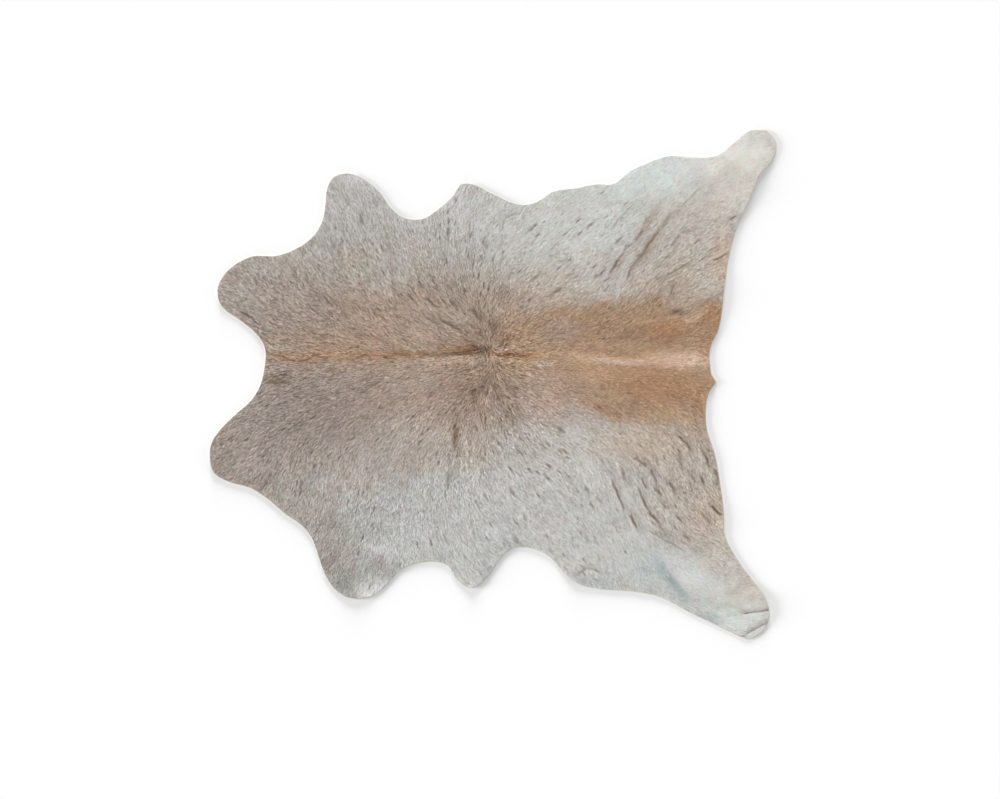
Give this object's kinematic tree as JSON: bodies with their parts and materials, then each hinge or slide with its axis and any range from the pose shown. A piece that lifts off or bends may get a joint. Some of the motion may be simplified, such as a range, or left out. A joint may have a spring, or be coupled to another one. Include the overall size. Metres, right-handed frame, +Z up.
{
  "type": "calfskin rug",
  "caption": "Flat hair-on calfskin rug with the animal's natural outline: neck, forelegs, belly edges and hind legs, short grey-brown and cream hair above, bare skin below.",
  "frame": {"origin": "centre of the outline's bounding box, on the floor under the hide", "axes": "+X from the neck to the tail, +Y to the animal's right side, +Z up through the hair side"},
  "size_m": [1.0006, 0.9006, 0.0088],
  "materials": {
    "hair_on_hide": "short dense calf hair, grey-brown and tan over the spine, cream on the belly and legs, pale suede skin below"
  },
  "bodies": {
    "root": {"hide": "hair_on_hide"}
  },
  "joints": []
}
